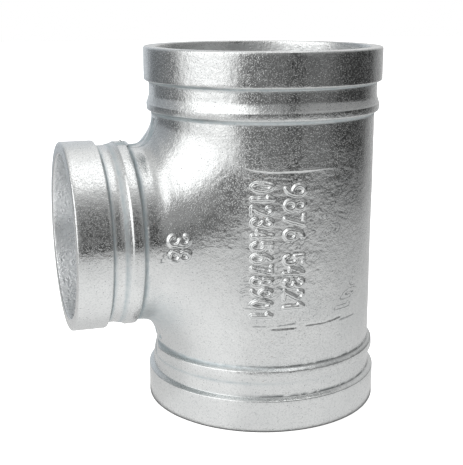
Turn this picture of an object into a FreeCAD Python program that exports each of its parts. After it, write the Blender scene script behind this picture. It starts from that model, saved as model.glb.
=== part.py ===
"""Grooved reducing tee for 114.3 mm and 88.9 mm pipe: one galvanised iron casting.

The run stands upright along Z, its lower end face centred on the origin.
The smaller branch leaves it at half height along -X.
Each of the three ends has a land, a groove for a clamp coupling, and a cast bead behind it.
Under the branch the lower bead is ground away, where the metal ran into the mould.
"""

import FreeCAD
import Part
import Sketcher
import math
import os

NODE = "tee_body"

# Every driving size in millimetres: alias, value, what it is.
# Lengths of an end are taken along its axis, each from where the one before it stops.
SIZES = [
    ("run_length", 174.0, "run, end face to end face"),
    ("branch_reach", 98.5, "run axis to the branch's end face"),
    ("run_land_dia", 114.3, "pipe size of the run"),
    ("run_groove_depth", 2.3, "land down to the floor of a groove on the run"),
    ("run_bead_drop", 0.95, "land down to the top of a bead on the run"),
    ("run_body_drop", 3.15, "land down to the plain body between the beads"),
    ("run_wall", 7.85, "land in to the waterway of the run"),
    ("run_mouth_wall", 5.65, "land in to that waterway at its end faces"),
    ("run_floor_length", 6.8, "flat floor of a groove on the run"),
    ("run_bead_length", 4.0, "top of a bead on the run"),
    ("run_bead_lean", 0.5, "fall of that top, away from the end face"),
    ("branch_land_dia", 88.9, "pipe size of the branch"),
    ("branch_groove_depth", 2.4, "land down to the floor of the branch's groove"),
    ("branch_bead_drop", 0.9, "land down to the top of the branch's bead"),
    ("branch_neck_drop", 2.45, "land down to the neck between bead and run"),
    ("branch_wall", 7.25, "land in to the waterway of the branch"),
    ("branch_mouth_wall", 5.55, "land in to that waterway at its end face"),
    ("branch_floor_length", 5.7, "flat floor of the branch's groove"),
    ("branch_bead_length", 5.1, "top of the branch's bead"),
    ("branch_bead_lean", 0.15, "fall of that top, away from the end face"),
    ("land_length", 15.4, "end face to the shoulder of the groove"),
    ("shoulder_length", 1.2, "slope from land down to groove floor"),
    ("rise_length", 2.0, "slope from groove floor up to bead"),
    ("fall_length", 1.3, "slope from bead down to body or neck"),
    ("mouth_length", 22.0, "tapered stretch of waterway inside an end face"),
    ("body_clearance", 1.5, "plain body left between a bead and the saddle"),
    ("neck_clearance", 1.0, "plain neck left between the saddle and the bead"),
    ("saddle_feather", 0.05, "depth at which the saddle's thin edges end inside the metal"),
    ("crotch_radius", 4.0, "round where the two waterways meet inside"),
    ("rim_radius", 0.9, "rounded outer corner of an end face"),
    ("lip_radius", 0.7, "rounded inner corner of an end face"),
    ("shoulder_radius", 0.5, "rounded corners of the slope from land to groove"),
    ("corner_radius", 1.0, "rounded corners of beads"),
    ("root_radius", 1.6, "hollow where a bead meets the body or neck"),
    ("gate_depth", 4.45, "land down to the flat ground under the branch"),
    ("gate_height", 16.4, "height of that flat, up from the groove floor"),
    ("gate_turn", 12.6, "degrees the flat is turned behind the branch"),
]

# Sizes that follow from those above: alias, formula, what it is.
# The saddle's edge on the neck is one circle, as far out as the beads of branch and run allow.
FOLLOWING = [
    ("run_land_radius", "run_land_dia / 2", "land of the run"),
    ("run_groove_radius", "run_land_radius - run_groove_depth", "groove floor of the run"),
    ("run_bead_radius", "run_land_radius - run_bead_drop", "bead of the run"),
    ("run_brow_radius", "run_bead_radius - run_bead_lean", "that bead where it ends"),
    ("run_body_radius", "run_land_radius - run_body_drop", "plain body of the run"),
    ("run_bore_radius", "run_land_radius - run_wall", "waterway of the run"),
    ("run_mouth_radius", "run_land_radius - run_mouth_wall", "that waterway at its end faces"),
    ("branch_land_radius", "branch_land_dia / 2", "land of the branch"),
    ("branch_groove_radius", "branch_land_radius - branch_groove_depth", "its groove floor"),
    ("branch_bead_radius", "branch_land_radius - branch_bead_drop", "its bead"),
    ("branch_brow_radius", "branch_bead_radius - branch_bead_lean", "that bead where it ends"),
    ("branch_body_radius", "branch_land_radius - branch_neck_drop", "its neck"),
    ("branch_bore_radius", "branch_land_radius - branch_wall", "its waterway"),
    ("branch_mouth_radius", "branch_land_radius - branch_mouth_wall", "its waterway at the end"),
    ("slopes_length", "shoulder_length + rise_length + fall_length", "the three slopes of an end"),
    ("run_flats_length", "land_length + run_floor_length + run_bead_length", "flats of a run end"),
    ("branch_flats_length", "land_length + branch_floor_length + branch_bead_length",
     "flats of the branch's end"),
    ("run_end_length", "slopes_length + run_flats_length", "end face to plain body"),
    ("branch_end_length", "slopes_length + branch_flats_length", "end face to plain neck"),
    ("room_on_run", "run_length / 2 - run_end_length - body_clearance - branch_body_radius",
     "saddle's room along the run"),
    ("room_on_branch", "branch_reach - branch_end_length - neck_clearance - run_body_radius",
     "saddle's room along the branch"),
    ("saddle_reach", "run_body_radius + min(room_on_run; room_on_branch)",
     "run axis to the circle where the saddle leaves the neck"),
]

# Lines drawn along half of the saddle's skin, and points on each line.
SADDLE_LINES = 36
SADDLE_POINTS = 9


def make_sheet(doc):
    """The spreadsheet of sizes: meaning, value or formula, alias."""
    sheet = doc.addObject("Spreadsheet::Sheet", "Sizes")
    cells = [(alias, str(value), meaning) for alias, value, meaning in SIZES]
    cells += [(alias, "=" + formula, meaning) for alias, formula, meaning in FOLLOWING]
    for row, (alias, content, meaning) in enumerate(cells, start=1):
        sheet.set(f"A{row}", meaning)
        sheet.set(f"B{row}", content)
        sheet.setAlias(f"B{row}", alias)
    doc.recompute()
    return sheet


def outline(body, name, corners, lift=None):
    """A closed sketch on the XZ plane through corners, each a pair of expressions.

    lift is the height of the sketch's own origin above the body's.
    """
    plane = next(f for f in body.Origin.OriginFeatures if f.Role == "XZ_Plane")
    sketch = body.newObject("Sketcher::SketchObject", name)
    sketch.AttachmentSupport = [(plane, "")]
    sketch.MapMode = "FlatFace"
    if lift:
        sketch.setExpression("AttachmentOffset.Base.y", lift)
    count = len(corners)
    for i in range(count):
        near = FreeCAD.Vector(i, 10 * i, 0)
        far = FreeCAD.Vector(i + 1, 10 * i + 10, 0)
        sketch.addGeometry(Part.LineSegment(near, far), False)
    for i in range(count):
        sketch.addConstraint(Sketcher.Constraint("Coincident", i, 2, (i + 1) % count, 1))
    for i, (across, up) in enumerate(corners):
        for kind, expression in (("DistanceX", across), ("DistanceY", up)):
            index = sketch.addConstraint(Sketcher.Constraint(kind, i, 1, 1.0))
            sketch.setExpression(f"Constraints[{index}]", expression)
    body.Document.recompute()
    return sketch


def turned(body, name, sketch, axis, cut=False):
    """The sketch turned a full circle about one of its own axes, as metal or as a cut."""
    kind = "PartDesign::Groove" if cut else "PartDesign::Revolution"
    feature = body.newObject(kind, name)
    feature.Profile = sketch
    feature.ReferenceAxis = (sketch, [axis])
    feature.Angle = 360.0
    sketch.Visibility = False
    body.Document.recompute()
    return feature


def rounded(body, name, chosen, radius):
    """Fillets those edges of the body's tip for which chosen(edge) is true."""
    tip = body.Tip
    names = [f"Edge{i}" for i, edge in enumerate(tip.Shape.Edges, start=1) if chosen(edge)]
    if not names:
        raise RuntimeError(f"{name}: no edge to round")
    feature = body.newObject("PartDesign::Fillet", name)
    feature.Base = (tip, names)
    feature.setExpression("Radius", f"Sizes.{radius}")
    body.Document.recompute()
    return feature


def end_profile(prefix):
    """One end's outer corners as (distance from the end face, radius) expressions."""
    steps = [
        ("0", "land"),
        ("Sizes.land_length", "land"),
        ("Sizes.shoulder_length", "groove"),
        (f"Sizes.{prefix}_floor_length", "groove"),
        ("Sizes.rise_length", "bead"),
        (f"Sizes.{prefix}_bead_length", "brow"),
        ("Sizes.fall_length", "body"),
    ]
    corners = []
    along = ""
    for step, level in steps:
        along = step if along in ("", "0") else f"{along} + {step}"
        corners.append((along, f"Sizes.{prefix}_{level}_radius"))
    return corners


def ring(edge, size):
    """(end, distance from its face, radius) of a full circle about the run or branch axis."""
    curve = edge.Curve
    if not isinstance(curve, Part.Circle):
        return None
    centre = curve.Center
    if abs(curve.Axis.z) > 0.999 and math.hypot(centre.x, centre.y) < 0.01:
        return "run", min(centre.z, size["run_length"] - centre.z), curve.Radius
    if abs(curve.Axis.x) > 0.999 and abs(centre.y) < 0.01:
        return "branch", size["branch_reach"] + centre.x, curve.Radius
    return None


def rings_at(size, wanted):
    """A test for edges: true for the circles listed as (end, distance, radius alias)."""
    def chosen(edge):
        found = ring(edge, size)
        if found is None:
            return False
        for end, distance, alias in wanted:
            near = abs(found[1] - distance) < 0.01
            if found[0] == end and near and abs(found[2] - size[alias]) < 0.01:
                return True
        return False
    return chosen


def between_cylinders(radius_a, radius_b):
    """A test for edges that lie on both the upright and the level cylinder of these radii."""
    def chosen(edge, middle):
        for at in (0.1, 0.4, 0.7):
            first, last = edge.ParameterRange
            point = edge.valueAt(first + at * (last - first))
            on_run = abs(math.hypot(point.x, point.y) - radius_a) < 0.01
            on_branch = abs(math.hypot(point.y, point.z - middle) - radius_b) < 0.01
            if not (on_run and on_branch):
                return False
        return True
    return chosen


def saddle_line(size, turn):
    """Points along one line of the saddle's skin, from the run's body out to the neck.

    A ball lies in the corner and touches both cylinders. On the neck it touches where that
    leaves the saddle, at saddle_reach from the run's axis, so its radius follows from the
    turn about the branch's axis, and it grows from a small fillet on top of the neck to a
    wide flare at its sides: (run + ball)^2 = reach^2 + ((neck + ball) * sin(turn))^2.
    """
    run = size["run_body_radius"] - size["saddle_feather"]
    neck = size["branch_body_radius"] - size["saddle_feather"]
    reach = size["saddle_reach"]
    sine = math.sin(turn)
    square = 1 - sine ** 2
    half = run - neck * sine ** 2
    rest = run ** 2 - (neck * sine) ** 2 - reach ** 2
    ball = -rest / (half + math.sqrt(half ** 2 - square * rest))
    side = (neck + ball) * sine
    centre = FreeCAD.Vector(-reach, side, (neck + ball) * math.cos(turn))
    share = run / (run + ball)
    on_run = FreeCAD.Vector(centre.x * share, centre.y * share, centre.z)
    on_neck = FreeCAD.Vector(-reach, neck * sine, neck * math.cos(turn))
    from_run = on_run - centre
    from_neck = on_neck - centre
    angle = from_run.getAngle(from_neck)
    points = []
    for i in range(SADDLE_POINTS):
        part = i / (SADDLE_POINTS - 1)
        towards_run = from_run * (math.sin((1 - part) * angle) / math.sin(angle))
        towards_neck = from_neck * (math.sin(part * angle) / math.sin(angle))
        points.append(centre + towards_run + towards_neck)
    return points


def edge_between(face, first, last):
    """The edge of a face that joins two points."""
    for edge in face.Edges:
        ends = [vertex.Point for vertex in edge.Vertexes]
        for near, far in (ends, reversed(ends)):
            if near.isEqual(first, 0.001) and far.isEqual(last, 0.001):
                return edge
    raise RuntimeError("no such edge on the saddle's skin")


def saddle_half(size):
    """The saddle on the +Y side, about the branch's axis: a solid under its skin.

    From both edges of the skin, straight faces run inwards to a half circle inside the metal.
    """
    turns = [math.pi * i / SADDLE_LINES for i in range(SADDLE_LINES + 1)]
    lines = [saddle_line(size, turn) for turn in turns]
    skin = Part.BSplineSurface()
    skin.interpolate(lines)
    skin = skin.toShape()
    depth = size["branch_bore_radius"]
    place = -size["run_bore_radius"] / 2
    hearts = [FreeCAD.Vector(place, depth * math.sin(t), depth * math.cos(t)) for t in turns]
    heart = Part.BSplineCurve()
    heart.interpolate(hearts)
    heart = heart.toShape()
    faces = [skin]
    for i in (0, -1):
        faces.append(Part.makeRuledSurface(edge_between(skin, lines[0][i], lines[-1][i]), heart))
        inwards = Part.makeLine(lines[i][-1], hearts[i])
        back = Part.makeLine(hearts[i], lines[i][0])
        edges = [edge_between(skin, lines[i][0], lines[i][-1]), inwards, back]
        faces.append(Part.Face(Part.Wire(edges)))
    shell = Part.makeShell(faces)
    shell.sewShape()
    solid = Part.Solid(shell)
    if solid.Volume < 0:
        solid.reverse()
    return solid


doc = FreeCAD.newDocument("grooved_tee")
sheet = make_sheet(doc)
size = {alias: float(sheet.get(alias)) for alias, content, meaning in SIZES + FOLLOWING}
middle = size["run_length"] / 2

body = doc.addObject("PartDesign::Body", "outer_form")
body.Label = "outer_form"

# Outside of the run: two ends, mirrored, joined by the plain body
run_end = end_profile("run")
corners = [("0", "0")]
corners += [(across, along) for along, across in run_end]
corners += [(across, f"Sizes.run_length - ({along})") for along, across in reversed(run_end)]
corners += [("0", "Sizes.run_length")]
run_sketch = outline(body, "run_outline", corners)
turned(body, "run_outside", run_sketch, "V_Axis")

# Outside of the branch: from the run's axis out to its end face
branch_end = end_profile("branch")
corners = [("0", "0")]
corners += [("0", "Sizes.branch_body_radius")]
corners += [(f"({along}) - Sizes.branch_reach", across) for along, across in reversed(branch_end)]
corners += [("-Sizes.branch_reach", "0")]
branch_sketch = outline(body, "branch_outline", corners, lift="Sizes.run_length / 2")
turned(body, "branch_outside", branch_sketch, "H_Axis")

# Small rounds on the shoulders and beads, and the hollow behind each bead
shoulders = []
crests = []
roots = []
for end in ("run", "branch"):
    at = size["land_length"]
    shoulders.append((end, at, f"{end}_land_radius"))
    at += size["shoulder_length"]
    shoulders.append((end, at, f"{end}_groove_radius"))
    at += size[f"{end}_floor_length"]
    crests.append((end, at, f"{end}_groove_radius"))
    at += size["rise_length"]
    crests.append((end, at, f"{end}_bead_radius"))
    at += size[f"{end}_bead_length"]
    crests.append((end, at, f"{end}_brow_radius"))
    at += size["fall_length"]
    roots.append((end, at, f"{end}_body_radius"))
rounded(body, "shoulder_corners", rings_at(size, shoulders), "shoulder_radius")
rounded(body, "bead_corners", rings_at(size, crests), "corner_radius")
rounded(body, "bead_roots", rings_at(size, roots), "root_radius")

# Saddle: the neck flares into the body, little on top and below, widely at its sides
half = saddle_half(size)
other_half = half.mirror(FreeCAD.Vector(), FreeCAD.Vector(0, 1, 0))
saddle = doc.addObject("Part::Feature", "saddle")
saddle.Label = "saddle"
saddle.Shape = half.fuse(other_half)
saddle.Placement.Base = FreeCAD.Vector(0, 0, middle)

rough = doc.addObject("Part::Fuse", "rough_casting")
rough.Label = "rough_casting"
rough.Base = body
rough.Tool = saddle
rough.Refine = False
doc.recompute()

body = doc.addObject("PartDesign::Body", "casting")
body.Label = "casting"
body.BaseFeature = rough
doc.recompute()

# Waterway of the run, widening over a short taper at both ends
corners = [
    ("0", "0"),
    ("Sizes.run_mouth_radius", "0"),
    ("Sizes.run_bore_radius", "Sizes.mouth_length"),
    ("Sizes.run_bore_radius", "Sizes.run_length - Sizes.mouth_length"),
    ("Sizes.run_mouth_radius", "Sizes.run_length"),
    ("0", "Sizes.run_length"),
]
run_bore_sketch = outline(body, "run_bore_outline", corners)
turned(body, "run_bore", run_bore_sketch, "V_Axis", cut=True)

# Waterway of the branch, from the run's axis out through its end face
corners = [
    ("0", "0"),
    ("0", "Sizes.branch_bore_radius"),
    ("Sizes.mouth_length - Sizes.branch_reach", "Sizes.branch_bore_radius"),
    ("-Sizes.branch_reach", "Sizes.branch_mouth_radius"),
    ("-Sizes.branch_reach", "0"),
]
branch_bore_sketch = outline(body, "branch_bore_outline", corners, lift="Sizes.run_length / 2")
turned(body, "branch_bore", branch_bore_sketch, "H_Axis", cut=True)

# Inside, the edge between the two waterways is rounded over
crotch = between_cylinders(size["run_bore_radius"], size["branch_bore_radius"])
rounded(body, "crotch_round", lambda edge: crotch(edge, middle), "crotch_radius")

# Outer and inner corners of the three end faces
rims = [("run", 0.0, "run_land_radius"), ("branch", 0.0, "branch_land_radius")]
rounded(body, "end_rims", rings_at(size, rims), "rim_radius")
lips = [("run", 0.0, "run_mouth_radius"), ("branch", 0.0, "branch_mouth_radius")]
rounded(body, "end_lips", rings_at(size, lips), "lip_radius")

# The gate stub is ground off under the branch: a flat through the lower bead and groove
stub = doc.addObject("Part::Box", "gate_stub")
stub.Label = "gate_stub"
upright = FreeCAD.Vector(0, 0, 1)
stub.Placement = FreeCAD.Placement(FreeCAD.Vector(), upright, -size["gate_turn"])
far = "Sizes.run_land_radius"
turn = "Sizes.gate_turn * 1 deg"
stub.setExpression("Length", "Sizes.gate_depth")
stub.setExpression("Width", "Sizes.run_land_dia")
stub.setExpression("Height", "Sizes.gate_height")
stub.setExpression("Placement.Rotation.Angle", "-Sizes.gate_turn")
stub.setExpression("Placement.Base.x", f"-{far} * (cos({turn}) + sin({turn}))")
stub.setExpression("Placement.Base.y", f"{far} * (sin({turn}) - cos({turn}))")
stub.setExpression("Placement.Base.z", "Sizes.land_length + Sizes.shoulder_length")

tee = doc.addObject("Part::Cut", NODE)
tee.Label = NODE
tee.Base = body
tee.Tool = stub
tee.Refine = False

doc.recompute()
for item in doc.Objects:
    if "Invalid" in item.State or "Error" in item.State:
        raise RuntimeError(f"{item.Name} did not recompute: {item.State}")
if tee.Shape.isNull() or not tee.Shape.isValid() or len(tee.Shape.Solids) != 1:
    raise RuntimeError(f"{NODE}: no single valid solid")
os.makedirs("parts", exist_ok=True)
tee.Shape.exportStep("parts/" + NODE + ".step")
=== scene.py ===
import bpy
import bmesh
import math
import numpy as np
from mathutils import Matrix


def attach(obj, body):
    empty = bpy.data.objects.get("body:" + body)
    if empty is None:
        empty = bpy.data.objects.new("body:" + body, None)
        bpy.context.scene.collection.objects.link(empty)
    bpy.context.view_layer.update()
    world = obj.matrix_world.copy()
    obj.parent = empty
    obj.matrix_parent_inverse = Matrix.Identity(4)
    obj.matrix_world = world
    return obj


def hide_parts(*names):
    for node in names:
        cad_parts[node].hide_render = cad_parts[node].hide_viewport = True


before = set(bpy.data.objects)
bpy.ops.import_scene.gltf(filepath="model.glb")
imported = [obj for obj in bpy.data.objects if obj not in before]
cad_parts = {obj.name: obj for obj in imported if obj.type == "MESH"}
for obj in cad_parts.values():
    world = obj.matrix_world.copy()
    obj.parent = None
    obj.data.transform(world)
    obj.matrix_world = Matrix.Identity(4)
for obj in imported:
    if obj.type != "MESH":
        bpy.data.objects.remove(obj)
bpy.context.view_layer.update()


# Camera
# It stands in front of the tee, a little left of its middle and above it, and looks down slightly.
# Its place comes from the outlines of the two pipe sizes in the picture.

MM = 0.001
SENSOR = 36.0
PICTURE_HEIGHT = 465
FOCAL_LENGTH = 948.83  # in pixels of the picture
CAMERA_TURN = 17.44  # degrees to the right of looking along +Y
CAMERA_DIP = 13.88  # degrees below level

camera_data = bpy.data.cameras.new("camera")
camera_data.sensor_width = SENSOR
camera_data.lens = FOCAL_LENGTH / PICTURE_HEIGHT * SENSOR
camera_data.clip_start = 0.01
camera_data.clip_end = 50.0
camera = bpy.data.objects.new("camera", camera_data)
bpy.context.collection.objects.link(camera)
camera.location = (-152.8 * MM, -436.35 * MM, 195.86 * MM)
camera.rotation_euler = (math.radians(90.0 - CAMERA_DIP), 0.0, math.radians(-CAMERA_TURN))
bpy.context.scene.camera = camera


# Casting
# One piece of ductile iron: an upright run with a smaller branch out of its side.
# It is poured in a sand mould around a core, ground at the gate, and dipped whole in molten zinc.

RUN_LENGTH = 174.0
MIDDLE = RUN_LENGTH / 2
REACH = 98.5
LAND = 57.15
BRANCH_LAND = 44.45
LAND_LENGTH = 15.4
BODY = 54.0
NECK = 42.0
RUN_BORE = 49.3
BRANCH_BORE = 37.2
SADDLE_REACH = 66.8  # from the run's axis to the saddle's edge on the neck
CROTCH = 4.0  # the round inside, where the two waterways meet
TAPER = 22.0
RUN_START = 31.9
NECK_START = 31.6

# Corners of an end from plain body to waterway: distance from the end face, radius, rounding.
RUN_END = [
    (RUN_START, BODY, 0.0), (30.7, BODY, 1.6), (29.5, 56.0, 0.7), (26.5, 56.2, 0.6),
    (25.6, 55.76, 1.0), (22.6, 54.85, 4.5), (16.6, 54.85, 0.5), (LAND_LENGTH, LAND, 0.5),
    (0.0, LAND, 0.9), (0.0, 51.5, 0.7), (TAPER, RUN_BORE, 0.0),
]
BRANCH_END = [
    (NECK_START, NECK, 0.0), (30.7, NECK, 1.6), (29.5, 43.5, 0.7), (25.2, 43.55, 0.5),
    (24.4, 43.0, 0.8), (20.2, 42.05, 5.0), (16.6, 42.05, 0.5), (LAND_LENGTH, BRANCH_LAND, 0.5),
    (0.0, BRANCH_LAND, 0.9), (0.0, 38.9, 0.7), (TAPER, BRANCH_BORE, 0.0),
]


def rounded_line(corners, step):
    """The line through the corners, each corner an arc tangent to both its sides.

    The arc starts radius * tan(half the turn) before the corner; straights are cut into
    equal steps no longer than step, and arcs into steps of about 22 degrees.
    """
    spots = np.array([c[:2] for c in corners])
    line = [spots[0]]
    for i in range(1, len(spots) - 1):
        into = spots[i] - spots[i - 1]
        out = spots[i + 1] - spots[i]
        into = into / np.linalg.norm(into)
        out = out / np.linalg.norm(out)
        turn = math.acos(np.clip(into @ out, -1, 1))
        radius = corners[i][2]
        back = radius * math.tan(turn / 2)
        first = spots[i] - back * into
        side = np.array([-into[1], into[0]])
        if side @ out < 0:
            side = -side
        count = max(2, int(math.ceil(math.degrees(turn) / 22.0)))
        at = np.linspace(0.0, turn, count + 1)[:, None]
        line.append(first + radius * (np.sin(at) * into + (1 - np.cos(at)) * side))
    line.append(spots[-1])
    full = [line[0][None]]
    for piece in line[1:]:
        piece = np.atleast_2d(piece)
        gap = piece[0] - full[-1][-1]
        count = max(1, int(math.ceil(np.linalg.norm(gap) / step)))
        at = np.linspace(0.0, 1.0, count + 1)[1:, None]
        full.append(full[-1][-1] + at * gap)
        full.append(piece[1:])
    return np.concatenate(full)


def turned_about_run(angle, radius, height):
    """Points at a radius and height, the angle counted from the branch's side (-X) towards +Y."""
    across = np.broadcast_to(height, np.broadcast(angle, radius, height).shape)
    return np.stack([-radius * np.cos(angle) + 0 * across, radius * np.sin(angle) + 0 * across,
                     across], -1)


def turned_about_branch(angle, radius, place):
    """Points at a radius about the branch's axis and an X place, the angle counted from above."""
    across = np.broadcast_to(place, np.broadcast(angle, radius, place).shape)
    return np.stack([across, radius * np.sin(angle) + 0 * across,
                     MIDDLE + radius * np.cos(angle) + 0 * across], -1)


def rolling_ball(run_radius, branch_radius, ball, turn):
    """Centre and two touch points of a ball that rolls in the corner of two cylinders.

    The centre stays run_radius + ball from the run's axis and branch_radius + ball from the
    branch's, and turn is its angle about the branch.
    """
    side = (branch_radius + ball) * np.sin(turn)
    height = MIDDLE + (branch_radius + ball) * np.cos(turn)
    depth = -np.sqrt((run_radius + ball) ** 2 - side ** 2)
    share = run_radius / (run_radius + ball)
    on_run = np.stack([depth * share, side * share, height], -1)
    on_branch = turned_about_branch(turn, branch_radius, depth)
    return np.stack([depth, side, height], -1), on_run, on_branch


def flaring_ball(turn):
    """The saddle's ball: it grows so that it leaves the neck at SADDLE_REACH all round.

    It solves (BODY + ball)^2 = SADDLE_REACH^2 + ((NECK + ball) * sin(turn))^2.
    """
    square = np.cos(turn) ** 2
    half = BODY - NECK * np.sin(turn) ** 2
    rest = BODY ** 2 - (NECK * np.sin(turn)) ** 2 - SADDLE_REACH ** 2
    ball = -rest / (half + np.sqrt(half ** 2 - square * rest))
    return rolling_ball(BODY, NECK, ball, turn)


def ball_arc(centre, start, end, at):
    """Points on the ball a share at of the way from start to end, on the shorter great circle."""
    from_start = start - centre
    from_end = end - centre
    size = np.linalg.norm(from_start, axis=-1, keepdims=True)
    angle = np.arccos(np.clip(np.sum(from_start * from_end, -1, keepdims=True) / size ** 2, -1, 1))
    share = np.sin((1 - at) * angle) * from_start + np.sin(at * angle) * from_end
    return centre + share / np.sin(angle)


def arc_rows(touches, rows):
    """The arc of ball_arc as that many rows of points."""
    centre, start, end = touches
    return ball_arc(centre, start, end, np.linspace(0.0, 1.0, rows + 1)[:, None, None])


def between(first, last, rows):
    """Straight rows of points from one line of points to another."""
    at = np.linspace(0.0, 1.0, rows + 1)[:, None, None]
    return first + at * (last - first)


class Patches:
    """Grids of points and their quads, gathered to make one mesh."""

    def __init__(self):
        self.points = []
        self.quads = []
        self.count = 0

    def add(self, grid, closed):
        rows, across = grid.shape[:2]
        number = np.arange(rows * across).reshape(rows, across) + self.count
        if closed:
            number = np.concatenate([number, number[:, :1]], axis=1)
        quads = np.stack([number[:-1, :-1], number[:-1, 1:], number[1:, 1:], number[1:, :-1]], -1)
        self.points.append(grid.reshape(-1, 3))
        self.quads.append(quads.reshape(-1, 4))
        self.count += rows * across

    def mesh(self, name, merge):
        """A mesh in metres, its touching edges merged and its faces turned outwards."""
        data = bpy.data.meshes.new(name)
        points = np.concatenate(self.points) * MM
        quads = np.concatenate(self.quads)
        data.vertices.add(len(points))
        data.vertices.foreach_set("co", points.ravel())
        data.loops.add(quads.size)
        data.loops.foreach_set("vertex_index", quads.ravel().astype(np.int32))
        data.polygons.add(len(quads))
        data.polygons.foreach_set("loop_start", np.arange(0, quads.size, 4, dtype=np.int32))
        data.polygons.foreach_set("loop_total", np.full(len(quads), 4, dtype=np.int32))
        data.update(calc_edges=True)
        if merge:
            work = bmesh.new()
            work.from_mesh(data)
            bmesh.ops.remove_doubles(work, verts=work.verts, dist=3e-6)
            bmesh.ops.recalc_face_normals(work, faces=work.faces)
            work.to_mesh(data)
            work.free()
        data.polygons.foreach_set("use_smooth", np.ones(len(data.polygons), dtype=bool))
        data.update()
        return data


def hole_patch(radius, reach_angle, side_heights, sector, oval, rows):
    """The part of an upright cylinder between an oval hole and a rectangle around it.

    Each point of the rectangle's edge, unrolled flat, is joined by a straight line to the
    point where the ray from the rectangle's middle crosses the oval.
    """
    half = len(sector) // 2
    top = side_heights[-1]
    bottom = side_heights[0]
    angles = np.concatenate([
        sector[half:-1], np.full(len(side_heights) - 1, reach_angle), sector[:0:-1],
        np.full(len(side_heights) - 1, -reach_angle), sector[:half],
    ])
    heights = np.concatenate([
        np.full(half, top), side_heights[:0:-1], np.full(len(sector) - 1, bottom),
        side_heights[:-1], np.full(half, top),
    ])
    turn = np.linspace(0.0, 2 * math.pi, 4001)
    _, table, _ = oval(turn)
    ray = np.unwrap(np.arctan2(radius * np.arctan2(table[:, 1], -table[:, 0]),
                               table[:, 2] - MIDDLE))
    wanted = np.mod(np.arctan2(radius * angles, heights - MIDDLE), 2 * math.pi)
    turns = np.interp(wanted, ray, turn)
    _, inner, _ = oval(turns)
    inner_angle = np.arctan2(inner[:, 1], -inner[:, 0])
    at = np.linspace(0.0, 1.0, rows + 1)[:, None]
    grid = turned_about_run(angles + at * (inner_angle - angles), radius,
                            heights + at * (inner[:, 2] - heights))
    return turns, grid


def lattice_noise(points, size, seed):
    """Smooth random swells about size apart, between -1 and 1.

    Random values on a cubic lattice, blended by a smoothstep along each axis.
    """
    values = np.random.default_rng(seed).uniform(-1, 1, (40, 40, 40))
    place = points / size + 20.0
    cell = np.floor(place).astype(int)
    part = place - cell
    part = part * part * (3 - 2 * part)
    total = np.zeros(points.shape[:-1])
    for i in (0, 1):
        for j in (0, 1):
            for k in (0, 1):
                corner = values[(cell[..., 0] + i) % 40, (cell[..., 1] + j) % 40,
                                (cell[..., 2] + k) % 40]
                share = 1.0
                for axis, step in enumerate((i, j, k)):
                    share = share * (part[..., axis] if step else 1 - part[..., axis])
                total = total + share * corner
    return total


def cast_swell(points):
    """Height in mm of the casting's unevenness: slow waves and smaller ripples."""
    wave = 0.12 * lattice_noise(points, 27.0, 11)
    wave = wave + 0.05 * lattice_noise(points, 11.0, 12)
    return wave + 0.015 * lattice_noise(points, 5.0, 13)


def smooth_step(low, high, value):
    """0 at low and beyond it, 1 at high and beyond it, and smooth between; low may be larger."""
    part = np.clip((value - low) / (high - low), 0.0, 1.0)
    return part * part * (3 - 2 * part)


def smooth_band(start, full, ease, end, value):
    """0 outside start and end, 1 from full to ease, and smooth between."""
    return smooth_step(start, full, value) * smooth_step(end, ease, value)


def straight_neck(points):
    """Points of the flare, taken in beside the bead, where the neck runs on nearly straight.

    The rise above the neck's radius is multiplied by a share that grows from 0 to 1 along it,
    and half as much is taken in on the underside.
    """
    up = points[..., 2] - MIDDLE
    radius = np.hypot(points[..., 1], up)
    share = smooth_step(3.0, 11.5, points[..., 0] + SADDLE_REACH)
    share = 1 - (1 - share) * (0.5 + 0.5 * smooth_step(-25.0, 5.0, up))
    scale = (NECK + (radius - NECK) * share) / radius
    return np.stack([points[..., 0], points[..., 1] * scale, MIDDLE + up * scale], -1)


# The run's grid: a sector on the branch's side holds the saddle, and the rest is plain
SECTOR_HALF = math.radians(78.0)
LINE_STEP = 1.5
sector = np.linspace(-SECTOR_HALF, SECTOR_HALF, 97)
rest = np.linspace(SECTOR_HALF, 2 * math.pi - SECTOR_HALF, 131)
around = np.concatenate([sector, rest[1:-1]])
body_heights = np.linspace(RUN_START, RUN_LENGTH - RUN_START, 73)
bore_heights = np.linspace(TAPER, RUN_LENGTH - TAPER, 73)

casting = Patches()
run_line = rounded_line(RUN_END, LINE_STEP)
for height in (run_line[:, 0], RUN_LENGTH - run_line[:, 0]):
    casting.add(turned_about_run(around[None], run_line[:, 1:], height[:, None]), True)
casting.add(turned_about_run(rest[None], BODY, body_heights[:, None]), False)
casting.add(turned_about_run(rest[None], RUN_BORE, bore_heights[:, None]), False)

saddle_turn, saddle_skin = hole_patch(
    BODY, SECTOR_HALF, body_heights, sector, flaring_ball, 10)
casting.add(saddle_skin, True)
saddle_touches = flaring_ball(saddle_turn)
casting.add(straight_neck(arc_rows(saddle_touches, 36)), True)
neck_edge = turned_about_branch(saddle_turn, NECK, NECK_START - REACH)
casting.add(between(saddle_touches[2], neck_edge, 1), True)

branch_line = rounded_line(BRANCH_END, LINE_STEP)
casting.add(turned_about_branch(saddle_turn[None], branch_line[:, 1:],
                                branch_line[:, :1] - REACH), True)

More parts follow.
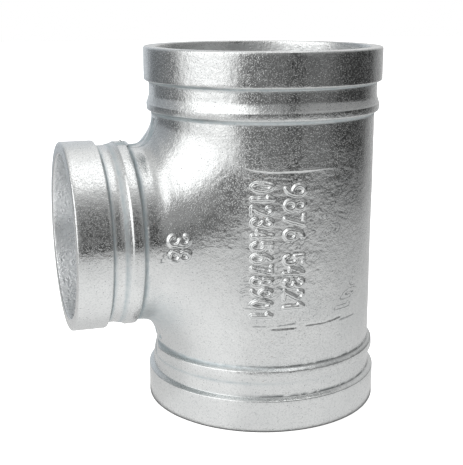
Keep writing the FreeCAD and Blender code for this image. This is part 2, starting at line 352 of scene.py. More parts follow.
crotch_turn, bore_skin = hole_patch(
    RUN_BORE, SECTOR_HALF, bore_heights, sector,
    lambda turn: rolling_ball(RUN_BORE, BRANCH_BORE, CROTCH, turn), 9)
casting.add(bore_skin, True)
crotch_touches = rolling_ball(RUN_BORE, BRANCH_BORE, CROTCH, crotch_turn)
casting.add(arc_rows(crotch_touches, 6), True)
on_bore = crotch_touches[2]
turn_shift = np.linspace(0.0, 1.0, 13)[:, None]
mixed_turn = crotch_turn + turn_shift * (saddle_turn - crotch_turn)
mixed_place = on_bore[:, 0] + turn_shift * (TAPER - REACH - on_bore[:, 0])
casting.add(turned_about_branch(mixed_turn, BRANCH_BORE, mixed_place), True)

casting_mesh = casting.mesh("tee_casting", True)


def radii(points):
    """Distances of each point from the run's axis and from the branch's."""
    return (np.hypot(points[:, 0], points[:, 1]),
            np.hypot(points[:, 1], points[:, 2] - MIDDLE))


def mesh_arrays(mesh):
    """Its points in mm and its unit normals, as arrays."""
    points = np.empty(len(mesh.vertices) * 3)
    mesh.vertices.foreach_get("co", points)
    normals = np.empty(len(mesh.vertices) * 3)
    mesh.vertex_normals.foreach_get("vector", normals)
    return points.reshape(-1, 3) / MM, normals.reshape(-1, 3)


def skin_weight(points):
    """How uneven the cast skin is: full on body and neck, less in the waterways, little on ends."""
    run_radius, branch_radius = radii(points)
    along_run = np.minimum(points[:, 2], RUN_LENGTH - points[:, 2])
    along_branch = points[:, 0] + REACH
    rough = np.where(points[:, 0] < -45.0, smooth_step(27.0, 36.0, along_branch),
                     smooth_step(27.0, 38.0, along_run))
    in_run = (run_radius < RUN_BORE + 2.8) & (branch_radius > BRANCH_BORE)
    in_branch = (branch_radius < BRANCH_BORE + 2.8) & (points[:, 0] < 0.0)
    return np.where(in_run | in_branch, 0.8, 0.12 + 0.88 * rough)


# Rings where zinc lay thick: distance from the end face, width, and strength at the upper and
# the lower end of the run
RUN_RINGS = [(30.8, 0.8, 0.9, 1.0), (23.4, 0.8, 0.0, 0.8), (16.4, 0.5, 0.9, 0.3)]
BRANCH_RINGS = [(30.8, 1.2), (22.3, 0.8), (16.5, 0.6)]


def zinc_and_shade_share(points, normals):
    """Thick zinc in bead roots and groove corners, and painted shade under the branch, 0 to 1."""
    run_radius, branch_radius = radii(points)
    along_run = np.minimum(points[:, 2], RUN_LENGTH - points[:, 2])
    along_branch = points[:, 0] + REACH
    share = np.zeros(len(points))
    outside_run = (run_radius > 53.0) & (points[:, 0] > -60.0)
    thick_at_left = 0.15 + 0.75 * smooth_step(5.0, -38.0, points[:, 0])
    for place, width, above, below in RUN_RINGS:
        ring = np.exp(-((along_run - place) / width) ** 2)
        ring = ring * np.where(points[:, 2] > MIDDLE, above, below * thick_at_left)
        share = np.maximum(share, np.where(outside_run, ring, 0.0))
    outside_branch = (branch_radius > 41.0) & (points[:, 0] < -60.0)
    for place, width in BRANCH_RINGS:
        ring = np.exp(-((along_branch - place) / width) ** 2)
        share = np.maximum(share, np.where(outside_branch, ring, 0.0))
    # Painted shade: the coat is made darker and bluer where the branch's underside faces down
    underside = smooth_step(-0.30, -0.85, normals[:, 2]) * smooth_step(-36.0, -46.0, points[:, 0])
    outside = (run_radius > 51.5) & (branch_radius > 39.0) & (points[:, 2] > 33.0)
    outside &= along_branch > 31.0
    return np.maximum(share, 0.55 * underside * outside)


# Painted shade in dark lines along sharp corners: distance from the end face, width and strength
PAINTED_SHADE_LINES = [(31.45, 0.34, 1.0), (29.6, 0.22, 0.55), (16.95, 0.24, 1.0), (15.3, 0.16, 0.45)]


def painted_shade_share(points):
    """Painted shade, 0 to 1: dark broken lines in the sharp corners of the lower end."""
    outside = (radii(points)[0] > 53.0) & (points[:, 2] < MIDDLE) & (points[:, 0] > -46.0)
    line = np.zeros(len(points))
    for place, width, strength in PAINTED_SHADE_LINES:
        line = np.maximum(line, strength * np.exp(-((points[:, 2] - place) / width) ** 2))
    broken = smooth_step(-0.70, 0.15, lattice_noise(points, 1.5, 81))
    long_gap = smooth_step(-0.95, -0.45, lattice_noise(points, 17.0, 83))
    return outside * line * broken * long_gap * smooth_step(-34.0, -8.0, points[:, 0])


def degrees_round(points):
    """Angle of each point about the run, in degrees from the branch's side towards +Y."""
    return np.degrees(np.arctan2(points[:, 1], -points[:, 0]))


def ripple_share(points):
    """How rippled the skin is, 0 to 1: full around the raised digits, none far from them."""
    angle = degrees_round(points)
    height = points[:, 2]
    on_run = (smooth_band(-119.0, -88.0, -66.0, -57.5, angle)
              * smooth_band(50.0, 76.0, 121.0, 128.0, height))
    by_neck = (smooth_band(-68.0, -60.0, -45.0, -37.0, angle)
               * smooth_band(83.0, 88.0, 96.0, 102.0, height))
    outside = (radii(points)[0] > 53.0) & (points[:, 0] > -66.0)
    return np.maximum(on_run, by_neck) * outside


def add_attributes(mesh, values):
    """Stores arrays of one number for each point in the mesh, under their names."""
    for name, numbers in values.items():
        layer = mesh.attributes.new(name, "FLOAT", "POINT")
        layer.data.foreach_set("value", numbers.astype(np.float32))


# The places of two plates that carry raised digits: their edges in degrees about the run, and in
# height. The casting is sunk under them, but not near their edges, so that their hollows stay open.
RUN_PLATE = ((-60.5, -126.0), (43.5, 128.5))
NECK_PLATE = ((-31.0, -45.5), (76.0, 99.5))
SUNK = 0.6


def under_plate(points, plate, in_degrees, in_height):
    """True for points of the outside under a plate, further in than the two distances."""
    (first, last), (low, high) = plate
    angle = degrees_round(points)
    height = points[:, 2]
    under = (angle < first - in_degrees) & (angle > last + in_degrees)
    under &= (height > low + in_height) & (height < high - in_height)
    return under & (radii(points)[0] > 53.0) & (points[:, 0] > -66.0)


points, normals = mesh_arrays(casting_mesh)
run_radius, branch_radius = radii(points)
in_run = (run_radius < 51.3) & (points[:, 0] > -58.0)
in_branch = (branch_radius < 39.0) & (points[:, 0] < 0.0)
inside = (in_run | in_branch).astype(float)
# One share holds thick zinc in corners and painted shade under the branch
# One share is painted shade: dark broken lines in the lower end's sharp corners
# One share paints light into the branch's waterway, fading inward from its mouth
add_attributes(casting_mesh, {
    "zinc_and_shade": zinc_and_shade_share(points, normals), "inside": inside, "ripple": ripple_share(points),
    "painted_shade": painted_shade_share(points), "pale": inside * smooth_step(-48.0, -62.0, points[:, 0]),
})

sunk = under_plate(points, RUN_PLATE, 2.6, 4.5) | under_plate(points, NECK_PLATE, 2.0, 2.0)
lift = skin_weight(points) * cast_swell(points) - SUNK * sunk
moved = points + normals * lift[:, None]

# The flat ground under the branch: what stands past its plane is brought back to it, less so
# towards the groove.
gate_turn = math.radians(12.6)
gate_normal = np.array([-math.cos(gate_turn), math.sin(gate_turn), 0.0])
gate_plane = 52.9 + 2.4 * smooth_step(26.0, 19.0, points[:, 2])
past = moved @ gate_normal - gate_plane
past = 0.5 * (past + np.sqrt(past ** 2 + 0.5)) - 0.1 * smooth_step(3.0, 1.0, np.abs(past))
ground = (past > 0) & (points[:, 2] > 16.9) & (points[:, 2] < 33.1) & (points[:, 0] < -30.0)
moved = moved - np.where(ground, past, 0.0)[:, None] * gate_normal

# The machined end faces and lands stay where the pipe sizes put them
moved = np.clip(moved, (-REACH, -LAND, 0.0), (LAND, LAND, RUN_LENGTH))
casting_mesh.vertices.foreach_set("co", (moved * MM).ravel())
casting_mesh.update()

casting_piece = bpy.data.objects.new("tee_casting", casting_mesh)
bpy.context.collection.objects.link(casting_piece)
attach(casting_piece, "root")
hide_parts("tee_body")


# Raised digits
# Two columns of cast digits stand on the run and two more digits on the branch's neck.
# They come from metal digits glued to the pattern, so they are round-edged, and zinc blurs them.

DIGIT_HEIGHT = 8.7
DIGIT_RELIEF = 1.05
PLATE_DEPTH = 1.2
PLATE_PROUD = 0.045

# Columns on the run: digits, the upper end's place around and up, width and pitch of a digit
RUN_COLUMNS = [
    ("012345678901", (66.9, 117.05), 2.9, 5.405), ("9876", (81.5, 115.85), 4.2, 6.7),
    ("54321", (81.5, 84.0), 3.7, 5.5),
]
NECK_COLUMN = ("38", (-53.2, 94.2), 4.4, 7.0)

# Edges that the loose piece of pattern under the digits left: places around and up
UPPER_EDGE = [(57.5, 124.4), (63.6, 123.0), (72.4, 122.4), (96.6, 122.7), (108.0, 122.4)]
LOWER_EDGE = [(69.0, 49.8), (72.0, 49.7), (82.0, 49.9), (86.0, 50.6), (98.0, 50.5), (107.0, 51.4)]
RIGHT_EDGE = [(108.0, 122.4), (115.8, 120.0), (116.6, 58.0), (112.6, 53.2), (107.0, 51.4)]


def bow(across, up, half_width, half_height, start, end):
    """Points of an arc of an ellipse inside a digit, from start to end in degrees."""
    count = max(4, int(abs(end - start) / 24))
    at = np.radians(np.linspace(start, end, count + 1))
    return np.stack([across + half_width * np.cos(at), up + half_height * np.sin(at)], -1)


# Strokes of each digit, in shares of its width and height
DIGITS = {
    "0": [bow(0.5, 0.5, 0.5, 0.5, 0, 360)],
    "1": [np.array([(0.2, 0.82), (0.55, 1.0), (0.55, 0.0)])],
    "2": [np.concatenate([bow(0.5, 0.76, 0.5, 0.24, 170, -30), [(0.0, 0.0), (1.0, 0.0)]])],
    "3": [bow(0.5, 0.76, 0.47, 0.24, 160, -90), bow(0.5, 0.26, 0.5, 0.26, 90, -160)],
    "4": [np.array([(0.75, 0.0), (0.75, 1.0), (0.0, 0.3), (1.0, 0.3)])],
    "5": [np.concatenate([[(0.95, 1.0), (0.1, 1.0), (0.05, 0.56)],
                          bow(0.5, 0.32, 0.5, 0.32, 120, -160)])],
    "6": [bow(0.5, 0.29, 0.5, 0.29, 0, 360), bow(1.0, 0.29, 1.0, 0.71, 180, 105)],
    "7": [np.array([(0.0, 1.0), (1.0, 1.0), (0.3, 0.0)])],
    "8": [bow(0.5, 0.76, 0.43, 0.24, 0, 360), bow(0.5, 0.26, 0.5, 0.26, 0, 360)],
    "9": [bow(0.5, 0.71, 0.5, 0.29, 0, 360), bow(0.0, 0.71, 1.0, 0.71, 0, -75)],
}


def stroke_distance(flat, stroke):
    """Distance of flat points to a line through the stroke's points."""
    nearest = np.full(len(flat), 1e9)
    for first, last in zip(stroke[:-1], stroke[1:]):
        along = last - first
        part = np.clip((flat - first) @ along / (along @ along), 0.0, 1.0)[:, None]
        nearest = np.minimum(nearest, np.linalg.norm(flat - first - part * along, axis=1))
    return nearest


def digit_relief(flat, text, top_middle, width, pitch):
    """Height in mm of a column of digits that reads downwards, their heads to the right.

    flat holds each point's place to the right and upwards, and top_middle the place of the
    column's upper end.
    """
    distance = np.full(len(flat), 9.0)
    for number, digit in enumerate(text):
        start = top_middle[1] - number * pitch
        low = top_middle[0] - DIGIT_HEIGHT / 2
        near = (np.abs(flat[:, 1] - start + width / 2) < width / 2 + 2.0)
        near = np.flatnonzero(near & (np.abs(flat[:, 0] - top_middle[0]) < DIGIT_HEIGHT / 2 + 2.0))
        for stroke in DIGITS[digit]:
            place = np.stack([low + stroke[:, 1] * DIGIT_HEIGHT, start - stroke[:, 0] * width], -1)
            distance[near] = np.minimum(distance[near], stroke_distance(flat[near], place))
    wobble = 0.16 * lattice_noise(np.stack([flat[:, 0], flat[:, 1], 0 * flat[:, 0]], -1), 1.7, 21)
    return DIGIT_RELIEF * smooth_step(1.25, 0.38, distance + wobble)


def line_relief(flat, line, width, seed):
    """Height 0 to 1 of a thin line through the given places, broken up by noise."""
    distance = stroke_distance(flat, np.array(line))
    spread = np.stack([flat[:, 0], flat[:, 1], 0 * flat[:, 0]], -1)
    distance = distance + 0.25 * lattice_noise(spread, 2.6, seed)
    strength = smooth_step(-0.75, 0.35, lattice_noise(spread, 5.0, seed + 1))
    return strength * smooth_step(width, 0.0, np.abs(distance))


def skin_radius(angle, height):
    """Radius of the outside at an angle and a height on the run, on the saddle or beside it.

    Newton steps look for the saddle's line and the share along it that lie there; a share
    below zero is beside the saddle, where the body is plain.
    """
    wanted = np.stack([BODY * np.abs(angle), height], -1)

    def on_saddle(turn, part):
        point = straight_neck(ball_arc(*flaring_ball(turn), part[..., None]))
        around = BODY * np.arctan2(point[..., 1], -point[..., 0])
        return point, np.stack([around, point[..., 2]], -1)

    turn = np.arctan2(wanted[..., 0], height - MIDDLE)
    part = np.full(turn.shape, 0.1)
    step = 1e-4
    for _ in range(14):
        point, here = on_saddle(turn, part)
        by_turn = (on_saddle(turn + step, part)[1] - here) / step
        by_part = (on_saddle(turn, part + step)[1] - here) / step
        miss = wanted - here
        size = by_turn[..., 0] * by_part[..., 1] - by_turn[..., 1] * by_part[..., 0]
        turn_step = (miss[..., 0] * by_part[..., 1] - miss[..., 1] * by_part[..., 0]) / size
        part_step = (by_turn[..., 0] * miss[..., 1] - by_turn[..., 1] * miss[..., 0]) / size
        turn = turn + np.clip(turn_step, -0.3, 0.3)
        part = np.clip(part + np.clip(part_step, -0.3, 0.3), -0.4, 1.0)
    point, _ = on_saddle(turn, part)
    return np.where(part > 0, np.hypot(point[..., 0], point[..., 1]), BODY)


def skin_plate(name, base, outwards, relief, thick_zinc, dark_shade):
    """A fine plate on a grid of skin points: a little proud, raised by relief, closed behind.

    relief, thick_zinc and the last argument are the height in mm, the share of dull zinc and the
    share of painted shade (a dark colour) at each point, and outwards is a direction on the outer
    side of the skin, or None for away from the run.
    """
    if outwards is None:
        outwards = base * np.array([1.0, 1.0, 0.0])
    normal = np.cross(np.gradient(base, axis=1), np.gradient(base, axis=0))
    normal = normal / np.linalg.norm(normal, axis=-1, keepdims=True)
    normal = normal * np.sign(np.sum(normal * outwards, -1, keepdims=True))
    flat = base.reshape(-1, 3)
    lift = skin_weight(flat) * cast_swell(flat) + relief.ravel() + PLATE_PROUD
    front = base + lift.reshape(relief.shape)[..., None] * normal
    back = base - PLATE_DEPTH * normal
    plate = Patches()
    for sheet in (front, back):
        plate.add(sheet, False)
    for edge in ((slice(None), 0), (slice(None), -1), (0, slice(None)), (-1, slice(None))):
        plate.add(np.stack([front[edge], back[edge]]), False)
    mesh = plate.mesh(name, True)
    mesh.set_sharp_from_angle(angle=math.radians(60.0))
    spread = mesh_arrays(mesh)[0]
    none = np.zeros(len(spread))
    thick = none.copy()
    thick[:thick_zinc.size] = thick_zinc.ravel()
    painted_shade = none.copy()
    painted_shade[:dark_shade.size] = dark_shade.ravel()
    add_attributes(mesh, {"zinc_and_shade": thick, "inside": none, "pale": none, "painted_shade": painted_shade,
                          "ripple": 0.4 * ripple_share(spread)})
    piece = bpy.data.objects.new(name, mesh)
    bpy.context.collection.objects.link(piece)
    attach(piece, "root")
    return mesh


def foot_shade(relief):
    """Share of painted shade, 0 to 1, dark along the foot of raised digits."""
    return 0.75 * smooth_step(0.10, 0.22, relief) * smooth_step(0.85, 0.55, relief)


def run_marks(points):
    """Relief and painted shade of the columns of digits, the ripples and the edges around them."""
    flat = np.stack([-BODY * np.arctan2(points[:, 1], -points[:, 0]), points[:, 2]], -1)
    digits = np.max([digit_relief(flat, *column) for column in RUN_COLUMNS], axis=0)
    spread = np.stack([flat[:, 0] / 1.9, flat[:, 1] / 1.1, 0 * flat[:, 0]], -1)
    ripples = (0.036 * lattice_noise(spread, 1.0, 41) + 0.018 * lattice_noise(spread, 0.6, 42)
               + 0.04 * lattice_noise(spread, 2.3, 43))
    ripples = ripples * ripple_share(points) * smooth_step(56.5, 61.5, flat[:, 0])
    upper = line_relief(flat, UPPER_EDGE, 0.9, 31)
    upper = upper * smooth_band(56.0, 68.0, 86.0, 108.0, flat[:, 0])
    crack = line_relief(flat, LOWER_EDGE, 0.6, 33)
    right = line_relief(flat, RIGHT_EDGE, 1.4, 35)
    relief = digits + ripples - 0.38 * crack + 0.26 * upper + 0.05 * right
    # The second value is painted shade: dark along the foot of the digits and in the crack
    return relief, np.maximum(foot_shade(digits), 0.60 * smooth_step(0.15, 0.70, crack))


def neck_marks(points):
    """Relief and painted shade of two digits beside the branch's bead."""
    flat = np.stack([points[:, 0], points[:, 2]], -1)
    digits = digit_relief(flat, *NECK_COLUMN)
    return digits, foot_shade(digits)


def digit_plate(name, place, columns, rows, marks):
    """A plate of the run's or the saddle's skin with marks on it, on a grid of that many points."""
    angle, height = np.meshgrid(np.radians(np.linspace(*place[0], columns)),
                                np.linspace(*place[1], rows))
    base = turned_about_run(angle, skin_radius(angle, height), height)
    flat = base.reshape(-1, 3)
    # The marks give relief and painted shade, and the painted shade is broken up by noise
    relief, dark_shade = marks(flat)
    dark_shade = dark_shade * smooth_step(-0.9, 0.3, lattice_noise(flat, 1.3, 51))
    return skin_plate(name, base, None, relief.reshape(height.shape), np.zeros(height.shape),
                      dark_shade.reshape(height.shape))


run_digits_mesh = digit_plate("run_digits", RUN_PLATE, 181, 248, run_marks)
neck_digits_mesh = digit_plate("neck_digits", NECK_PLATE, 58, 68, neck_marks)


# Parting seam
# The two halves of the sand mould met in the plane through both axes, and iron crept between.
# The flash is ground down to a low ridge, and zinc drips froze along it on the saddle.

SEAM_HALF = 6.3
SEAM_RISE = 0.26
DRIP_RISE = 0.16
SEAM_START = 24.8  # from the branch's end face, on its bead
SADDLE_ROWS = 62


def seam(across, along, seed):
    """Relief and thick zinc of a seam: a ridge 2 mm wide that comes and goes, with drips."""
    spread = np.stack([across, along, 0 * along], -1)
    bend = across + 0.45 * lattice_noise(spread * np.array([0.0, 1.0, 0.0]), 6.0, seed)
    strength = 0.55 + 0.45 * lattice_noise(spread * np.array([0.0, 1.0, 0.0]), 4.0, seed + 1)
    edge = smooth_step(SEAM_HALF, SEAM_HALF - 1.5, np.abs(across))
    ridge = SEAM_RISE * strength * np.exp(-(bend / 0.8) ** 2)
    drips = DRIP_RISE * lattice_noise(spread, 1.6, seed + 2) * np.exp(-(bend / 2.6) ** 2)
    return edge * (ridge + drips), edge * np.exp(-(bend / 4.6) ** 4)


seam_turn = np.linspace(-SEAM_HALF, SEAM_HALF, 41) / NECK
branch_place, branch_radius = rounded_line(BRANCH_END[:6], 0.4)[::-1].T
neck_place = np.concatenate([np.arange(SEAM_START, NECK_START, 0.35), [REACH - SADDLE_REACH]])
seam_neck = turned_about_branch(
    seam_turn[None], np.interp(neck_place, branch_place, branch_radius)[:, None],
    neck_place[:, None] - REACH)
seam_saddle = arc_rows([touch[None] for touch in flaring_ball(seam_turn)], SADDLE_ROWS)[::-1]
seam_saddle = straight_neck(seam_saddle).reshape(SADDLE_ROWS + 1, len(seam_turn), 3)
seam_base = np.concatenate([seam_neck, seam_saddle[1:-2]])
steps = np.linalg.norm(np.diff(seam_base[:, len(seam_turn) // 2], axis=0), axis=1)
seam_along = np.concatenate([[0.0], np.cumsum(steps)])[:, None] + 0 * seam_turn
seam_across = NECK * seam_turn + 0 * seam_along
seam_relief, seam_zinc = seam(seam_across, seam_along, 51)
# A nib of flash stands on the top of the branch's bead
nib = 0.85 * np.exp(-(seam_across / 0.55) ** 2 - ((seam_along - 3.3) / 0.8) ** 2)
upper_seam_mesh = skin_plate("upper_seam", seam_base, np.array([-1.0, 0.0, 1.0]),
                             seam_relief + nib, seam_zinc, 0 * seam_zinc)

lower_base = seam_base * np.array([1.0, 1.0, -1.0]) + np.array([0.0, 0.0, RUN_LENGTH])
lower_relief, lower_zinc = seam(seam_across, seam_along, 61)
lower_seam_mesh = skin_plate("lower_seam", lower_base, np.array([-1.0, 0.0, -1.0]),
                             lower_relief, lower_zinc, 0 * lower_zinc)

back_turn = math.pi + np.linspace(-SEAM_HALF, SEAM_HALF, 41) / BODY
back_height = np.linspace(RUN_START + 0.6, RUN_LENGTH - RUN_START - 0.6, 260)
back_base = turned_about_run(back_turn[None], BODY, back_height[:, None])
back_across = BODY * (back_turn - math.pi) + 0 * back_height[:, None]
back_relief, back_zinc = seam(back_across, back_height[:, None] + 0 * back_turn, 71)
back_seam_mesh = skin_plate("back_seam", back_base, None, back_relief, 0.35 * back_zinc,
                            0 * back_zinc)


# Hot-dip zinc
# The casting is dipped in molten zinc, which gives sand-cast iron a bright metal skin.
# It follows the grain of the sand, is softly dimpled like orange peel, and is duller and bluer
# where it lay thick.


def linear(code):
    """An sRGB hex colour as linear red, green, blue and alpha."""
    parts = [int(code[i:i + 2], 16) / 255 for i in (1, 3, 5)]
    parts = [p / 12.92 if p <= 0.04045 else ((p + 0.055) / 1.055) ** 2.4 for p in parts]
    return (*parts, 1.0)


def add(tree, kind, settings=None, inputs=None):
    """Adds a node, sets its properties, and fills its inputs with values or other outputs."""
    node = tree.nodes.new(kind)
    for name, value in (settings or {}).items():
        setattr(node, name, value)
    for name, value in (inputs or {}).items():
        socket = node.inputs[name]
        if isinstance(value, bpy.types.NodeSocket):
            tree.links.new(value, socket)
        else:
            socket.default_value = value
    return node


zinc = bpy.data.materials.new("hot_dip_zinc")
zinc.use_nodes = True
tree = zinc.node_tree
tree.nodes.clear()
place = add(tree, "ShaderNodeTexCoord")
spot = place.outputs["Object"]
zinc_and_shade, inner, pale, painted_shade, ripple = [
    add(tree, "ShaderNodeAttribute", {"attribute_name": name}).outputs["Fac"]
    for name in ("zinc_and_shade", "inside", "pale", "painted_shade", "ripple")]

# Uneven things in the coat, each a noise: scale, detail and roughness. The scale is about one
# divided by the size in metres.
cloud, fleck, speck, swell, peel, pebble, grain = [
    add(tree, "ShaderNodeTexNoise", {}, {"Vector": spot, "Scale": scale, "Detail": detail,
                                         "Roughness": rough}).outputs["Fac"]
    for scale, detail, rough in (
        (70.0, 3.0, 0.5),  # mottling about 14 mm across
        (330.0, 2.0, 0.5),  # finer mottling of about 3 mm
        (1100.0, 3.0, 0.65),  # crystals and thinly covered sand, about 0.9 mm
        (130.0, 1.0, 0.5),  # waves about 8 mm apart
        (400.0, 1.0, 0.45),  # dimples of the orange peel, about 2.5 mm apart
        (950.0, 1.0, 0.5),  # soft pebbles of the sand, about 1 mm apart
        (1750.0, 1.0, 0.5),  # single grains near 0.6 mm
    )]

coat = add(tree, "ShaderNodeMix", {"data_type": "RGBA"},
           {"Factor": cloud, "A": linear("#d2d4d4"), "B": linear("#e3e4e3")})
# Painted light: the branch's waterway is made whiter, most towards its mouth
bright = add(tree, "ShaderNodeMix", {"data_type": "RGBA"},
             {"Factor": pale, "A": coat.outputs["Result"], "B": linear("#f0f2f3")})
thick = add(tree, "ShaderNodeMapRange", {},
            {"Value": fleck, "From Min": 0.3, "From Max": 0.7, "To Min": 0.45, "To Max": 1.0})
thick_zinc_and_shade = add(tree, "ShaderNodeMath", {"operation": "MULTIPLY"},
                  {0: zinc_and_shade, 1: thick.outputs["Result"]})
# Crystals and sand that the coat covers thinly tint it a little
speck_share = add(tree, "ShaderNodeMapRange", {},
                  {"Value": speck, "From Min": 0.34, "From Max": 0.50,
                   "To Min": 0.34, "To Max": 0.0})
specked = add(tree, "ShaderNodeMix", {"data_type": "RGBA"},
              {"Factor": speck_share.outputs["Result"], "A": bright.outputs["Result"],
               "B": linear("#b0b3b4")})
# The thick zinc colour, which also paints shade on the branch's underside
colour = add(tree, "ShaderNodeMix", {"data_type": "RGBA"},
             {"Factor": thick_zinc_and_shade.outputs[0], "A": specked.outputs["Result"],
              "B": linear("#b9c5c9")})
# Painted shade in sharp corners, in the crack and at the foot of the digits: dark and broken up
with_painted_shade = add(tree, "ShaderNodeMix", {"data_type": "RGBA"},
               {"Factor": painted_shade, "A": colour.outputs["Result"], "B": linear("#4f5557")})

# Level ripples 1.6 mm apart round the raised digits, where the pattern was pressed in again
level = add(tree, "ShaderNodeVectorMath", {"operation": "MULTIPLY"},
            {0: spot, 1: (0.55, 0.55, 1.0)})
waves = add(tree, "ShaderNodeTexNoise", {}, {"Vector": level.outputs["Vector"], "Scale": 620.0,
                                             "Detail": 1.0, "Roughness": 0.5})
wave_height = add(tree, "ShaderNodeMath", {"operation": "MULTIPLY"},
                  {0: waves.outputs["Fac"], 1: ripple})

# Pebbles are higher in the waterways, and most of all in the lower half of the branch's
rougher = add(tree, "ShaderNodeMath", {"operation": "MULTIPLY_ADD"}, {0: inner, 1: 1.6, 2: 1.0})
up = add(tree, "ShaderNodeSeparateXYZ", {}, {0: spot})
sandy = add(tree, "ShaderNodeMapRange", {},
            {"Value": up.outputs["Z"], "From Min": 0.056, "From Max": 0.086,
             "To Min": 3.5, "To Max": 0.0})
sandier = add(tree, "ShaderNodeMath", {"operation": "MULTIPLY_ADD"},
              {0: sandy.outputs["Result"], 1: pale, 2: rougher.outputs[0]})
pebble_height = add(tree, "ShaderNodeMath", {"operation": "MULTIPLY"},
                    {0: pebble, 1: sandier.outputs[0]})

# Single grains stand out of the smooth zinc: only the tops of their noise are kept
grain_tops = add(tree, "ShaderNodeMapRange", {"interpolation_type": "SMOOTHSTEP"},
                 {"Value": grain, "From Min": 0.54, "From Max": 0.72,
                  "To Min": 0.0, "To Max": 1.0})

# Pinholes where gas left the iron, about 0.4 mm across: most are grey, a few have begun to rust
pinhole = add(tree, "ShaderNodeTexVoronoi", {"feature": "F1"}, {"Vector": spot, "Scale": 470.0})
pinhole_share = add(tree, "ShaderNodeMapRange", {"interpolation_type": "SMOOTHSTEP"},
                    {"Value": pinhole.outputs["Distance"], "From Min": 0.05, "From Max": 0.12,
                     "To Min": 1.0, "To Max": 0.0})
luck = add(tree, "ShaderNodeSeparateXYZ", {}, {0: pinhole.outputs["Color"]})
rusty = add(tree, "ShaderNodeMath", {"operation": "GREATER_THAN"},
            {0: luck.outputs["X"], 1: 0.965})
pinhole_colour = add(tree, "ShaderNodeMix", {"data_type": "RGBA"},
                     {"Factor": rusty.outputs[0], "A": linear("#959b9e"), "B": linear("#8c6a4c")})
pinhole_deep = add(tree, "ShaderNodeMath", {"operation": "MULTIPLY"},
                   {0: pinhole_share.outputs["Result"], 1: -1.0})
spotted = add(tree, "ShaderNodeMix", {"data_type": "RGBA"},
              {"Factor": pinhole_share.outputs["Result"], "A": with_painted_shade.outputs["Result"],
               "B": pinhole_colour.outputs["Result"]})

# All of this relief, each height laid on the one before: a height, and its depth in metres
bump = None
for relief, depth in ((swell, 0.00010), (peel, 0.00009), (wave_height.outputs[0], 0.00012),
                      (pebble_height.outputs[0], 0.00005),
                      (grain_tops.outputs["Result"], 0.000036),
                      (pinhole_deep.outputs[0], 0.00006)):
    below = {"Normal": bump.outputs["Normal"]} if bump else {}
    bump = add(tree, "ShaderNodeBump", {},
               {"Height": relief, "Strength": 1.0, "Distance": depth, **below})

# Shine: uneven, and duller where the zinc is thick and in the waterways
dull = add(tree, "ShaderNodeMapRange", {},
           {"Value": fleck, "From Min": 0.3, "From Max": 0.7, "To Min": 0.12, "To Max": 0.24})
thick_dull = add(tree, "ShaderNodeMath", {"operation": "MULTIPLY_ADD"},
                 {0: zinc_and_shade, 1: 0.42, 2: dull.outputs["Result"]})
skin_dull = add(tree, "ShaderNodeMath", {"operation": "MULTIPLY_ADD"},
                {0: inner, 1: 0.12, 2: thick_dull.outputs[0]})
shader = add(tree, "ShaderNodeBsdfPrincipled", {},
             {"Base Color": spotted.outputs["Result"], "Metallic": 1.0,
              "Roughness": skin_dull.outputs[0], "Normal": bump.outputs["Normal"]})
add(tree, "ShaderNodeOutputMaterial", {}, {"Surface": shader.outputs["BSDF"]})
for mesh in (casting_mesh, run_digits_mesh, neck_digits_mesh, upper_seam_mesh, lower_seam_mesh,
             back_seam_mesh):
    mesh.materials.append(zinc)


# Floor and light
# The tee stands on a white table in a photographer's room, with a large soft box at its left.
# The metal mirrors the table, the soft box, the dim room and the white backdrop behind the tee;
# the camera sees plain white all round.

FLOOR_HALF = 4000.0
FLOOR_DROP = 0.05

floor_patch = Patches()
floor_x, floor_y = np.meshgrid(*[np.linspace(-FLOOR_HALF, FLOOR_HALF, 9)] * 2)
floor_patch.add(np.stack([floor_x, floor_y, np.full_like(floor_x, -FLOOR_DROP)], -1), False)
floor_mesh = floor_patch.mesh("floor", False)
floor = bpy.data.objects.new("floor", floor_mesh)
bpy.context.collection.objects.link(floor)

# White table board: plain white to the camera, which sees only a faint shadow on it.
# In the metal it glows grey-white with painted light and shadow: a painted contact shadow
# where the tee stands, painted light inside the tee and towards the soft box, brighter in front,
# and it ends in the room.
board = bpy.data.materials.new("white_table_board")
board.use_nodes = True
tree = board.node_tree
tree.nodes.clear()
place = add(tree, "ShaderNodeTexCoord")
spot = place.outputs["Object"]
distance = add(tree, "ShaderNodeVectorMath", {"operation": "LENGTH"}, {0: spot})
direction = add(tree, "ShaderNodeVectorMath", {"operation": "NORMALIZE"}, {0: spot})
# How far a spot lies towards the camera, and towards the soft box
towards_camera, towards_box = [
    add(tree, "ShaderNodeVectorMath", {"operation": "DOT_PRODUCT"},
        {0: direction.outputs["Vector"],
         1: (-math.sin(math.radians(turn)), -math.cos(math.radians(turn)), 0.0)})
    for turn in (CAMERA_TURN, 57.0)]
front = add(tree, "ShaderNodeMapRange", {},
            {"Value": towards_camera.outputs["Value"], "From Min": -1.0, "From Max": 1.0,
             "To Min": 0.60, "To Max": 0.95})
box_spill = add(tree, "ShaderNodeMapRange", {"interpolation_type": "SMOOTHSTEP"},
                {"Value": towards_box.outputs["Value"], "From Min": 0.86, "From Max": 0.985,
                 "To Min": 0.0, "To Max": 0.13})
front_light = add(tree, "ShaderNodeMath", {"operation": "ADD"},
                  {0: front.outputs["Result"], 1: box_spill.outputs["Result"]})
